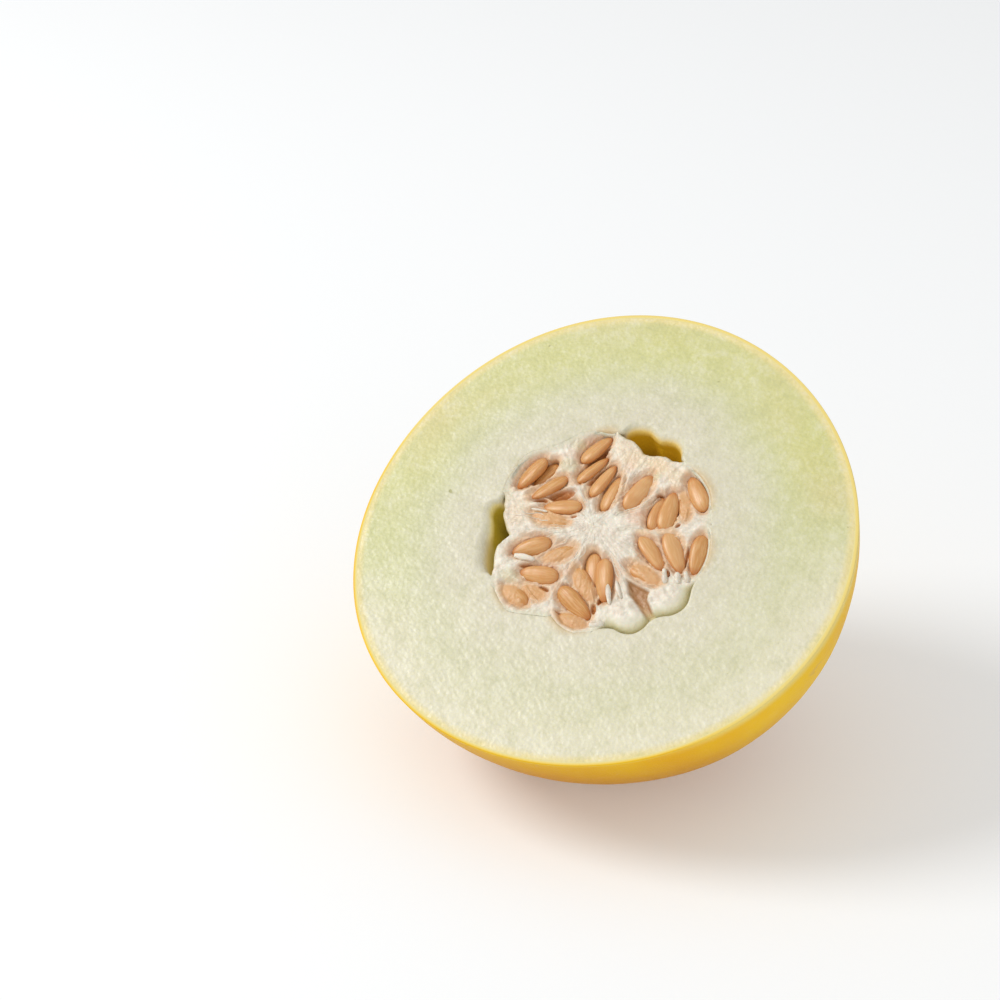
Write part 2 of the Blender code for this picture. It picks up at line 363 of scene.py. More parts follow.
def makeFlesh():
    turn = np.linspace(0.0, 360.0, flesh["turns"], endpoint=False)
    thick = fruit["rindThickness"]
    first = np.full_like(turn, firstClimb(thick))
    outside = {"spread": 1.0, "deep": 0.0, "halo": 0.0}
    rows = [(skinRing(np.array([0.0]), np.array([math.pi / 2]), thick), outside)]
    for k in range(flesh["outerRings"], 0, -1):
        climb = first + (math.pi / 2 - first) * k / (flesh["outerRings"] + 1)
        rows.append((skinRing(turn, climb, thick), outside))
    rim = skinRing(turn, first, thick)
    rows.append((skinRing(turn, first, thick, 0.0, flesh["rimDrop"]), outside))
    rows.append((rim, outside))
    normal = placePoints(0.0, 0.0, 1.0) - placePoints(0.0, 0.0, 0.0)
    wallTop = wallRadius(turn)
    # the deep value on the walls drives their painted shade and painted glow; it is weaker where the pulp
    # hides the wall and in the lower part of the left hollow
    shallow = smooth((turn - 196.0) / 10.0) * smooth((232.0 - turn) / 6.0)
    shadeAndGlowShare = (0.1 + 0.9 * hollowShare(turn)) * (1.0 - 0.62 * shallow)
    roundness = flesh["edgeRound"] + (flesh["hollowRound"] - flesh["edgeRound"]) * hollowShare(turn)
    edge = corePoints(wallTop + roundness, turn, 0.0)
    for k in range(flesh["faceRings"] + 1):
        share = k / flesh["faceRings"] if k else flesh["firstShare"]
        flat = rim + (edge - rim) * share
        relief = faceRelief(flat) * smooth(share / 0.03)
        values = {"spread": 1.0 - share, "deep": 0.0, "halo": seedStainAndShade(flat)}
        rows.append((flat + relief[:, None] * normal, values))
    for k in range(1, flesh["roundRings"] + 1):
        bend = math.pi / 2 * k / flesh["roundRings"]
        deep = roundness * (1.0 - math.cos(bend))
        points = corePoints(wallTop + roundness * (1.0 - math.sin(bend)), turn, -deep)
        relief = faceRelief(points) * math.cos(bend)
        values = {"spread": 0.0, "deep": deep * shadeAndGlowShare / flesh["glowDepth"], "halo": seedStainAndShade(points)}
        rows.append((points + relief[:, None] * normal, values))
    for k in range(1, flesh["wallRings"] + 1):
        climb = math.pi / 2 * (k / (flesh["wallRings"] + 1)) ** flesh["wallDraw"]
        deep = roundness + (fruit["cavityDepth"] - roundness) * math.sin(climb)
        radius = wallTop * math.cos(climb)
        wave = softNoise(corePoints(radius, turn, -deep), flesh["wallWaveLength"], 24)
        wall = corePoints(radius + flesh["wallWave"] * wave * math.cos(climb), turn, -deep)
        rows.append((wall, {"spread": 0.0, "deep": deep * shadeAndGlowShare / flesh["glowDepth"], "halo": 0.0}))
    depth = fruit["cavityDepth"]
    values = {"spread": 0.0, "deep": depth / flesh["glowDepth"], "halo": 0.0}
    rows.append((corePoints(0.0, 0.0, -depth), values))
    return shell("cutFlesh", rows)


# ---- seeds: each row has its middle on the face in mm, the way its round end points, its depth
# under the face in mm, its roll and pitch, its length and width in mm, 1 where a film lies over it,
# and how light it is

seedForm = {"sides": 24, "rings": 15, "thickness": 0.58, "taper": 0.2, "corner": 2.25, "fullness": 2.3,
            "dentHeight": 0.00035, "dentScale": 210.0}
seedRows = {
    "1": (
        (-27.1, 12.1, 68, 1.8, -20, 4, 11.7, 5.2, 0, 0.25),
        (-20.2, 9.1, 49, 1.6, -26, 2, 11.8, 4.8, 0, 0.2),
        (-14.1, 4.6, 16, 1.7, -14, 3, 11.2, 5, 0, 0.55),
        (-23.7, 13.4, 65, 3.6, -10, 0, 9.6, 4.3, 0, 0),
        (-15.9, 0.3, -1, 2.2, -8, 0, 11.2, 4.4, 1, 0.4),
    ),
    "2": (
        (-17.2, -9.5, 33, 1.7, 16, 2, 11.4, 5.2, 0, 0.45),
        (-8.9, -9.3, 36, 2.4, 8, 0, 9.8, 4.6, 1, 0.35),
        (-11.6, -16.7, 7, 1.6, 12, 2, 11.4, 5.3, 0, 0.5),
        (-15.5, -24.7, -21, 2.2, 10, 0, 9.4, 5.4, 1, 0.2),
        (-10.9, -22.0, -5, 2.8, 10, 0, 8, 4.4, 1, 0.2),
    ),
    "3": (
        (-12.3, 24.4, 244, 2.0, 26, 2, 11.3, 5.2, 0, 0.5),
        (-10.9, 17.8, 240, 2.0, 34, 0, 11.6, 4.4, 0, 0.4),
        (-6.4, 15.5, 255, 1.9, 28, 0, 11.5, 4.7, 0, 0.6),
        (-2.6, 12.5, 266, 2.4, 24, -2, 11.6, 4.9, 0, 0.5),
    ),
    "4": (
        (4.9, 14.9, 255, 1.6, -22, 2, 12.4, 5.2, 0, 1.0),
        (12.1, 10.3, 273, 2.5, -12, 0, 10.6, 4.3, 0, 0.5),
        (15.3, 11.6, 279, 1.6, -10, 2, 12.5, 5.2, 0, 0.55),
        (18.7, 14.6, 297, 2.7, -8, 0, 9.4, 4, 1, 0.4),
        (20.9, 18.9, 312, 1.7, 10, 3, 12.1, 5.2, 0, 0.45),
    ),
    "5": (
        (15.8, -1.6, 141, 1.7, 20, 2, 12.4, 4.8, 0, 0.7),
        (21.8, 0.1, 129, 1.5, 20, 3, 13, 5.3, 0, 0.85),
        (28.2, 1.5, 99, 1.8, 16, 2, 12, 4.9, 0, 0.3),
        (16.6, -8.1, 165, 2.4, 12, 0, 11.2, 4.6, 1, 0.4),
    ),
    "6": (
        (2.0, -10.8, 112, 3.0, -10, 0, 11, 4.9, 0, 0.5),
        (6.5, -13.1, 114, 1.7, -24, 2, 13.2, 5.6, 0, 0.55),
        (1.7, -15.9, 137, 2.3, -8, 0, 12.4, 5, 1, 0.4),
        (1.4, -21.8, 153, 1.6, -18, 2, 13.2, 5.4, 0, 0.1),
        (2.8, -27.0, 177, 2.5, -8, 0, 9.4, 4.6, 1, 0.6),
    ),
}


# one seed two units long and wide, a flattened drop pointed at the end that grows from the pulp
def makeSeedForm():
    sides = seedForm["sides"]
    taper = seedForm["taper"]
    angle = np.linspace(0.0, 2.0 * math.pi, sides, endpoint=False)
    power = 2.0 / seedForm["corner"]
    rows = [(np.array([-1.0, 0.0, 0.0]), {"along": -1.0, "aside": 0.0})]
    for k in range(1, seedForm["rings"] + 1):
        along = -math.cos(math.pi * k / (seedForm["rings"] + 1))
        bulk = math.sqrt(1.0 - abs(along) ** seedForm["fullness"])
        bulk = bulk * (1.0 + taper * along) / (1.0 + 0.12 * taper)
        wide = bulk * np.sign(np.cos(angle)) * np.abs(np.cos(angle)) ** power
        high = bulk * np.sign(np.sin(angle)) * np.abs(np.sin(angle)) ** power
        ring = np.stack([np.full(sides, along), wide, high], axis=1)
        rows.append((ring, {"along": along, "aside": np.cos(angle)}))
    rows.append((np.array([1.0, 0.0, 0.0]), {"along": 1.0, "aside": 0.0}))
    return shell("seedForm", rows)


def seedAxes(heading, roll, pitch):
    turned = Matrix.Rotation(math.radians(heading), 3, "Z")
    lifted = Matrix.Rotation(math.radians(-pitch), 3, "Y")
    rolled = Matrix.Rotation(math.radians(roll), 3, "X")
    toWorld = Matrix(((1, 0, 0), (0, math.sin(faceTilt), -math.cos(faceTilt)),
                      (0, math.cos(faceTilt), math.sin(faceTilt))))
    return toWorld @ turned @ lifted @ rolled


# ---- geometry node trees, each built once

def startTree(name, inputs):
    tree = bpy.data.node_groups.new(name, "GeometryNodeTree")
    tree.interface.new_socket("Geometry", in_out="INPUT", socket_type="NodeSocketGeometry")
    for label, kind, value in inputs:
        socket = tree.interface.new_socket(label, in_out="INPUT", socket_type=kind)
        if value is not None:
            socket.default_value = value
    tree.interface.new_socket("Geometry", in_out="OUTPUT", socket_type="NodeSocketGeometry")
    return tree, tree.nodes.new("NodeGroupInput"), tree.nodes.new("NodeGroupOutput")


def addNode(tree, kind, **settings):
    node = tree.nodes.new(kind)
    for label, value in settings.items():
        setattr(node, label, value)
    return node


def namedValue(tree, label, kind):
    node = addNode(tree, "GeometryNodeInputNamedAttribute", data_type=kind)
    node.inputs["Name"].default_value = label
    return node.outputs["Attribute"]


def makeBunchTree():
    tree, given, made = startTree("seedBunch", (
        ("Seed", "NodeSocketObject", None),
        ("Dent Height", "NodeSocketFloat", 0.0001),
        ("Dent Scale", "NodeSocketFloat", 260.0),
        ("Finish", "NodeSocketMaterial", None),
    ))
    link = tree.links.new
    points = addNode(tree, "GeometryNodeMeshToPoints")
    seed = addNode(tree, "GeometryNodeObjectInfo")
    place = addNode(tree, "GeometryNodeInstanceOnPoints")
    euler = addNode(tree, "FunctionNodeEulerToRotation")
    real = addNode(tree, "GeometryNodeRealizeInstances")
    noise = addNode(tree, "ShaderNodeTexNoise")
    centred = addNode(tree, "ShaderNodeVectorMath", operation="SUBTRACT")
    centred.inputs[1].default_value = (0.5, 0.5, 0.5)
    dent = addNode(tree, "ShaderNodeVectorMath", operation="SCALE")
    moved = addNode(tree, "GeometryNodeSetPosition")
    even = addNode(tree, "GeometryNodeSetShadeSmooth")
    finish = addNode(tree, "GeometryNodeSetMaterial")
    link(given.outputs["Geometry"], points.inputs["Mesh"])
    link(given.outputs["Seed"], seed.inputs["Object"])
    link(points.outputs["Points"], place.inputs["Points"])
    link(seed.outputs["Geometry"], place.inputs["Instance"])
    link(namedValue(tree, "tilt", "FLOAT_VECTOR"), euler.inputs["Euler"])
    link(euler.outputs["Rotation"], place.inputs["Rotation"])
    link(namedValue(tree, "size", "FLOAT_VECTOR"), place.inputs["Scale"])
    link(place.outputs["Instances"], real.inputs["Geometry"])
    link(real.outputs["Geometry"], moved.inputs["Geometry"])
    link(given.outputs["Dent Scale"], noise.inputs["Scale"])
    link(noise.outputs["Color"], centred.inputs[0])
    link(centred.outputs["Vector"], dent.inputs[0])
    link(given.outputs["Dent Height"], dent.inputs["Scale"])
    link(dent.outputs["Vector"], moved.inputs["Offset"])
    link(moved.outputs["Geometry"], even.inputs["Geometry"])
    link(even.outputs["Geometry"], finish.inputs["Geometry"])
    link(given.outputs["Finish"], finish.inputs["Material"])
    link(finish.outputs["Geometry"], made.inputs["Geometry"])
    return tree


def makeStrandTree():
    tree, given, made = startTree("strands", (
        ("Sides", "NodeSocketInt", 8),
        ("Finish", "NodeSocketMaterial", None),
    ))
    link = tree.links.new
    curve = addNode(tree, "GeometryNodeMeshToCurve")
    profile = addNode(tree, "GeometryNodeCurvePrimitiveCircle")
    profile.inputs["Radius"].default_value = 1.0
    tube = addNode(tree, "GeometryNodeCurveToMesh")
    tube.inputs["Fill Caps"].default_value = True
    even = addNode(tree, "GeometryNodeSetShadeSmooth")
    finish = addNode(tree, "GeometryNodeSetMaterial")
    link(given.outputs["Geometry"], curve.inputs["Mesh"])
    link(curve.outputs["Curve"], tube.inputs["Curve"])
    link(namedValue(tree, "thick", "FLOAT"), tube.inputs["Scale"])
    link(given.outputs["Sides"], profile.inputs["Resolution"])
    link(profile.outputs["Curve"], tube.inputs["Profile Curve"])
    link(tube.outputs["Mesh"], even.inputs["Geometry"])
    link(even.outputs["Geometry"], finish.inputs["Geometry"])
    link(given.outputs["Finish"], finish.inputs["Material"])
    link(finish.outputs["Geometry"], made.inputs["Geometry"])
    return tree


def bakeTree(piece, tree, values):
    modifier = piece.modifiers.new(tree.name, "NODES")
    modifier.node_group = tree
    for item in tree.interface.items_tree:
        if item.item_type == "SOCKET" and item.in_out == "INPUT" and item.name in values:
            modifier[item.identifier] = values[item.name]
    view = bpy.context.evaluated_depsgraph_get()
    mesh = bpy.data.meshes.new_from_object(piece.evaluated_get(view))
    piece.modifiers.remove(modifier)
    piece.data = mesh
    mesh.name = piece.name
    return piece


def makeBunch(name, rows, seed, finish, tree):
    places = []
    tilts = []
    sizes = []
    tones = []
    for x, y, heading, depth, roll, pitch, length, width, covered, tone in rows:
        places.append(placePoints(x / 1000.0, y / 1000.0, -depth / 1000.0))
        tilts.append(tuple(seedAxes(heading, roll, pitch).to_euler("XYZ")))
        sizes.append((length / 2000.0, width / 2000.0, width * seedForm["thickness"] / 2000.0))
        tones.append(tone)
    mesh = bpy.data.meshes.new(name)
    mesh.from_pydata([tuple(p) for p in places], [], [])
    carry(mesh, "tilt", tilts)
    carry(mesh, "size", sizes)
    carry(mesh, "tone", tones)
    return bakeTree(linkObject(name, mesh), tree, {
        "Seed": seed,
        "Dent Height": seedForm["dentHeight"],
        "Dent Scale": seedForm["dentScale"],
        "Finish": finish,
    })


# ---- pulp: its top is sculpted as a height over the face; all sizes here are in mm and degrees

pulp = {
    "grid": 280,
    "fit": 0.45,
    "plateau": 0.35,
    "brim": 0.05,
    "brimWidth": 3.0,
    "nestDepth": 0.15,
    "nestWall": 0.8,
    "lobeDrop": 1.15,
    "lobeReach": 2.3,
    "edgeRound": 1.3,
    "padRound": 2.6,
    "padTurn": 321.0,
    "padHalf": 24.0,
    "padFade": 4.0,
    "moundFall": 3.2,
    "filmFall": 1.6,
    "filmLift": 0.15,
    "fibreHeight": 0.17,
    "grainHeight": 0.12,
}

# swellings: middle, half sizes, turn, top under the face, and how smooth and domed they are
mounds = (
    ((-24.7, -2.4), (4.6, 4.8), 4, 0.3, 0), ((-29.5, 5.2), (1.4, 1.6), 0, 0.05, 0),
    ((-25.2, 4.3), (2.2, 1.3), 10, 0.3, 0), ((-21.5, 2.9), (1.7, 1.0), 10, 0.5, 0),
    ((-23.9, -14.4), (2.6, 6.4), 14, 0.3, 0), ((-19.4, -19.4), (3.0, 2.2), 0, 0.4, 0.3),
    ((25.4, -12.0), (5.4, 4.8), 10, -0.25, 0), ((16.4, -21.0), (6.2, 4.4), -6, -0.2, 0),
    ((-4.2, 26.4), (3.6, 3.6), 0, 0.4, 0.1), ((-6.6, 24.0), (2.4, 2.0), 0, 0.7, 0),
    ((0.7, 24.7), (3.8, 3.2), -10, 0.6, 0.1), ((6.5, 24.1), (4.0, 2.8), -10, 0.5, 0.1),
    ((11.8, 22.9), (3.6, 3.0), -10, 0.4, 0), ((14.6, 19.3), (2.6, 2.2), 0, 0.5, 0),
    ((15.2, 24.4), (2.2, 1.6), -30, 0.05, 0), ((-1.6, 1.8), (6.8, 5.4), 0, 0.2, 0),
    ((8.2, 7.4), (2.6, 2.4), 0, 1.4, 0), ((8.1, 20.4), (1.5, 1.2), 0, 0.4, 0.4),
    ((-17.9, 17.6), (3.0, 3.2), 0, 0.2, 0),
)

# walls between the lobes and edges of film: half width, top under the face, and the line they follow
ridges = (
    (1.7, 0.3, ((-25.0, -8.4), (-17.8, -4.3), (-10.4, -2.5), (-4.5, 0.4))),
    (1.1, 0.5, ((-3.0, -2.9), (-2.9, -7.2), (-3.8, -12.0), (-4.1, -15.8), (-5.0, -20.1), (-5.3, -23.9))),
    (1.1, 0.6, ((2.6, -0.7), (6.7, -4.4), (9.5, -7.8), (10.9, -11.6), (11.3, -14.4))),
    (1.5, 0.3, ((1.6, 2.7), (7.5, 3.1), (13.4, 3.4), (18.3, 5.9), (23.0, 7.6), (27.3, 10.2))),
    (1.0, 0.4, ((-2.2, 3.3), (-0.1, 7.1), (0.2, 11.1), (-0.2, 14.8), (-0.9, 18.4), (-2.2, 22.5),
                (-4.2, 25.9))),
    (1.1, 0.3, ((-4.9, 3.6), (-7.4, 7.0), (-10.0, 9.5), (-13.0, 11.4), (-16.1, 14.7), (-18.3, 18.0))),
    (1.3, 0.1, ((-22.0, -20.9), (-20.5, -25.0), (-17.0, -28.2), (-12.2, -29.3), (-7.9, -27.4),
                (-5.4, -24.0))),
    (1.0, 0.1, ((-4.1, -23.5), (-2.2, -27.1), (0.7, -29.5), (5.2, -30.3), (9.2, -28.1), (12.3, -26.3))),
    (0.6, 0.8, ((-22.7, 2.8), (-18.8, 2.3), (-14.8, 1.7), (-11.4, 2.1), (-8.5, 2.5))),
    (0.4, 0.7, ((13.7, -11.7), (17.8, -11.5), (20.3, -10.6), (22.8, -10.7))),
    (0.3, 1, ((-13.8, -21.0), (-12.0, -22.3), (-8.5, -24.4))),
    (0.3, 1, ((1.6, -13.3), (4.0, -16.3), (6.3, -19.6))),
    (0.35, 1.2, ((7.2, 6.6), (8.7, 9.7), (10.1, 12.3), (11.2, 15.0))),
    (0.3, 1.1, ((20.3, 8.2), (20.6, 11.0), (20.0, 13.5))),
    (0.35, 0.8, ((6.1, -5.1), (9.9, -7.7), (12.2, -10.7), (12.8, -13.1))),
    (0.3, 0.9, ((11.0, -0.4), (12.0, -4.4), (11.4, -7.2))),
    (0.3, 1.1, ((-9.4, -13.7), (-7.0, -12.2), (-4.1, -11.8))),
    (0.3, 0.7, ((13.7, 2.5), (16.0, 4.2), (16.8, 4.8), (21.2, 4.7))),
)

# hollows and torn holes, tinted brown as painted shade: middle, half sizes, turn, depth
pits = (
    ((-15.7, 8.1), (4.6, 1.5), 28, 1.9), ((-20.9, 4.7), (2.2, 0.8), 20, 1.4),
    ((-10.8, 22.0), (4.6, 1.3), 62, 2.0), ((-8.1, 16.6), (4.4, 1.1), 62, 1.7),
    ((-9.3, 2.4), (1.0, 0.5), 20, 0.8), ((-15.9, -15.3), (2.4, 0.6), 12, 1.0),
    ((-8.5, -20.2), (1.7, 0.5), -10, 1.4), ((19.7, 7.9), (0.9, 0.6), 50, 1.2),
    ((17.5, 13.4), (2.6, 0.5), -75, 1.2), ((11.0, 15.3), (0.9, 0.5), 20, 1.2),
    ((22.4, -6.3), (1.5, 0.8), -50, 1.6), ((8.0, -19.3), (0.8, 1.5), 10, 1.2),
    ((7.3, -21.9), (0.9, 1.8), 30, 1.2), ((25.5, -0.3), (3.4, 0.5), 100, 1.0),
    ((4.5, -13.0), (2.6, 0.45), 100, 1.0), ((19.4, -4.3), (2.0, 0.5), -50, 1.0),
    ((-0.6, -26.0), (2.2, 0.3), -4, 0.6),
)

# the torn corner: its outline on the face, and its depth
tear = ((12.3, -11.0), (20.2, -12.6), (20.4, -15.0), (24.4, -19.2), (23.0, -21.2), (18.2, -17.6),
        (15.0, -15.4))
tearDepth = 1.6

# soft patches of colour, the olive ones partly painted shade: middle, half sizes, turn, tint, strength
patches = (
    ((0.3, 24.3), (6.0, 4.2), -10, "cream", 0.6), ((7.2, 23.8), (5.0, 3.2), -10, "cream", 0.8),
    ((13.0, 22.0), (4.0, 3.0), -10, "cream", 0.5), ((-4.2, 26.4), (4.0, 3.6), 0, "cream", 0.4),
    ((-25.0, 0.0), (4.0, 6.0), 0, "cream", 0.35), ((8.0, 20.7), (1.7, 1.3), 0, "moss", 0.35),
    ((-17.6, 17.0), (3.6, 2.4), 0, "moss", 0.35), ((-30.6, 2.7), (2.4, 3.0), 0, "moss", 0.3),
    ((-19.3, -19.6), (3.4, 2.2), 0, "moss", 0.35), ((-17.7, 24.1), (2.6, 2.4), 0, "moss", 0.35),
    ((9.2, -0.9), (3.6, 2.6), 0, "grey", 0.35), ((12.6, 16.3), (1.6, 1.8), 0, "grey", 0.6),
    ((19.0, 14.8), (1.6, 3.4), 0, "grey", 0.4), ((-5.7, 20.4), (2.4, 1.6), 0, "grey", 0.3),
    ((9.9, -9.3), (1.8, 4.6), 0, "rosy", 0.5), ((8.2, 7.4), (3.8, 3.4), 0, "rosy", 1.0),
    ((-10.1, -13.3), (3.4, 1.4), 10, "rosy", 0.8), ((-4.5, -13.8), (2.4, 2.4), 0, "rosy", 0.6),
    ((-0.4, 21.9), (2.2, 3.6), 0, "rosy", 0.4), ((13.2, 1.6), (4.0, 1.6), 0, "rosy", 0.5),
    ((4.8, -27.1), (4.6, 2.2), 0, "rosy", 0.6), ((-17.0, 19.6), (5.0, 3.4), 40, "rosy", 0.4),
    ((-15.6, -27.0), (4.6, 2.0), -20, "rosy", 0.5), ((25.0, 17.0), (2.6, 4.0), 0, "rosy", 0.4),
    ((-27.5, 17.5), (3.0, 5.0), -30, "rosy", 0.5), ((-16.5, 26.5), (3.4, 3.0), 30, "rosy", 0.5),
)


def ovalCoordinates(x, y, middle, halves, turn):
    angle = math.radians(turn)
    dx = x - middle[0]
    dy = y - middle[1]
    along = (dx * math.cos(angle) + dy * math.sin(angle)) / halves[0]
    aside = (-dx * math.sin(angle) + dy * math.cos(angle)) / halves[1]
    return along, aside


def lineDistance(x, y, line):
    nearest = np.full_like(x, 1e9)
    for (ax, ay), (bx, by) in zip(line, line[1:]):
        length = math.hypot(bx - ax, by - ay)
        share = np.clip(((x - ax) * (bx - ax) + (y - ay) * (by - ay)) / length ** 2, 0.0, 1.0)
        nearest = np.minimum(nearest, np.hypot(x - ax - share * (bx - ax), y - ay - share * (by - ay)))
    return nearest


# how deep a point lies inside an outline, in mm; outside it is below nothing
def insideDepth(x, y, outline):
    inside = np.zeros(x.shape, bool)
    for (ax, ay), (bx, by) in zip(outline, outline[1:] + outline[:1]):
        crosses = (ay > y) != (by > y)
        inside ^= crosses & (x < ax + (y - ay) * (bx - ax) / (by - ay + 1e-9))
    distance = lineDistance(x, y, outline + outline[:1])
    return np.where(inside, distance, -distance)


# the higher of two surfaces, rounded where they meet
def softHigher(a, b, blend):
    return 0.5 * (a + b + np.sqrt((a - b) ** 2 + blend ** 2))


def seedGap(x, y, row):
    u, v = ovalCoordinates(x, y, (row[0], row[1]), (row[6] / 2.0, row[7] / 2.0), row[2])
    q = np.maximum(np.hypot(u, v), 1e-3)
    return q, np.hypot(x - row[0], y - row[1]) * (1.0 - 1.0 / q)


# where the pulp has grown together with the flesh
def grownShare(turn):
    return 1.0 - smooth((1000.0 * hollowWidth(turn) + 0.7) / 0.7)


def sculptPulp(x, y):
    dx = x - 1000.0 * fruit["coreX"]
    dy = y - 1000.0 * fruit["coreY"]
    away = np.hypot(dx, dy)
    turn = np.degrees(np.arctan2(dy, dx))
    hollow = 1000.0 * hollowWidth(turn)
    edge = 1000.0 * cavityRadius(turn) - hollow
    grown = grownShare(turn)
    aside = np.abs(np.mod(turn - pulp["padTurn"] + 180.0, 360.0) - 180.0)
    beside = smooth((pulp["padHalf"] - aside) / pulp["padFade"])
    brim = smooth(1.0 - (edge - away) / pulp["brimWidth"]) * grown
    height = -pulp["plateau"] + (pulp["plateau"] - pulp["brim"]) * brim
    seeds = [row for rows in seedRows.values() for row in rows]
    gaps = [seedGap(x, y, row) for row in seeds]
    nearest = np.min([gap for q, gap in gaps], axis=0)
    height = height - pulp["lobeDrop"] * smooth(1.0 - nearest / pulp["lobeReach"]) * (1.0 - 0.45 * brim)
    for row, (q, gap) in zip(seeds, gaps):
        if not row[8]:
            low = row[3] + pulp["nestDepth"]
            nest = low * (smooth(gap / pulp["nestWall"]) - 1.0)
            height = np.minimum(height, nest * np.where(gap > 0.0, 1.0 - 0.75 * brim, 1.0))
    dome = np.zeros_like(x)
    for middle, halves, angle, top, domed in mounds:
        u, v = ovalCoordinates(x, y, middle, halves, angle)
        q = np.hypot(u, v)
        height = softHigher(height, -top - pulp["moundFall"] * q ** 4, 0.4)
        dome = np.maximum(dome, domed * (1.0 - smooth((q - 1.05) / 0.35)))
    dome = np.maximum(dome, beside * smooth((5.0 - edge + away) / 2.0))
    film = np.zeros_like(x)
    for row, (q, gap) in zip(seeds, gaps):
        if row[8]:
            back = row[7] * seedForm["thickness"] / 2.0 * np.sqrt(np.clip(1.0 - q * q, 0.0, 1.0))
            back = back + pulp["filmLift"] - pulp["filmFall"] * np.clip(gap, 0.0, 9.0)
            height = softHigher(height, back - row[3], 0.2)
            film = np.maximum(film, 1.0 - smooth((q - 0.75) / 0.4))
    for width, top, line in ridges:
        height = softHigher(height, -top - (lineDistance(x, y, line) / width) ** 2, 0.3)
    brown = np.zeros_like(x)
    for middle, halves, angle, depth in pits:
        u, v = ovalCoordinates(x, y, middle, halves, angle)
        dip = 1.0 - smooth((np.hypot(u, v) - 0.55) / 0.6)
        height = height - depth * dip
        brown = np.maximum(brown, dip)
    torn = smooth((insideDepth(x, y, tear) + 0.35) / 1.3)
    height = height - tearDepth * torn
    spot = np.stack([x, y, 0.0 * x], axis=1)
    angle = np.radians(turn)
    streak = np.stack([26.0 * np.cos(angle), 26.0 * np.sin(angle), away * 0.24], axis=1)
    fibre = softNoise(streak, 1.1, 41) + 0.6 * softNoise(streak, 0.5, 42)
    rough = pulp["fibreHeight"] * fibre
    rough += pulp["grainHeight"] * (softNoise(spot, 1.0, 43) + 0.8 * softNoise(spot, 0.45, 44))
    rough *= 1.0 + 0.5 * smooth(1.0 - (nearest - 0.4) / 2.0)
    height = height + rough * (1.0 - 0.85 * dome) * (1.0 - 0.6 * film) * (1.0 - 0.8 * brim)
    bend = pulp["edgeRound"] + (pulp["padRound"] - pulp["edgeRound"]) * beside
    inner = np.clip((edge - away) / bend, 0.0, 1.0)
    height = height - (1.0 - grown) * bend * (1.0 - np.sqrt(1.0 - (1.0 - inner) ** 2))
    # painted shade: where the pulp lies deep, the low mask tints it brown
    deep = smooth((-height - 1.6) / 1.3)
    rim = smooth(1.0 - (edge - away) / 3.4) * (1.0 - 0.75 * smooth(1.0 - (nearest - 0.3) / 2.2))
    # painted shade: beside the hollows, mostly at the pads, the pulp's free edge is tinted olive
    edgeShade = 1.0 - smooth((edge - away) / (1.0 + 2.6 * beside))
    masks = {
        "film": film,
        "domed": dome,
        "brown": brown,
        "low": deep * (1.0 - dome),
        "fibre": 0.5 + 0.5 * fibre,
        "grown": grown * rim,
        "lobe": smooth(1.0 - (nearest - 0.5) / 2.4) * (1.0 - 0.5 * grown * brim),
        "rosy": 0.0 * x,
        "cream": 0.0 * x,
        "moss": (0.7 + 0.25 * beside) * (1.0 - grown) * edgeShade,
        "grey": 0.0 * x,
        "bark": smooth(torn / 0.8),
        "olive": 0.0 * x,
    }
    for middle, halves, angle, tint, share in patches:
        u, v = ovalCoordinates(x, y, middle, halves, angle)
        masks[tint] = np.maximum(masks[tint], share * (1.0 - smooth((np.hypot(u, v) - 0.4) / 0.8)))
    return height, masks


# an even square grid bent into a disc, so that its cells stay alike
def discGrid(count):
    line = np.linspace(-1.0, 1.0, count)
    a, b = np.meshgrid(line, line, indexing="ij")
    a = a.ravel()
    b = b.ravel()
    wide = np.abs(a) > np.abs(b)
    radius = np.where(wide, a, b)
    safe = np.where(np.abs(radius) < 1e-12, 1.0, radius)
    angle = np.where(wide, math.pi / 4.0 * b / safe, math.pi / 2.0 - math.pi / 4.0 * a / safe)
    return radius * np.cos(angle), radius * np.sin(angle)


# the pulp's side: how far each ring lies under the rim, in mm
sideRings = (0.4, 0.9, 1.5, 2.3, 3.5, 5.0, 7.0, 9.5, 12.5, 16.0, 20.0, 24.0, 28.0, 32.0, 35.0)


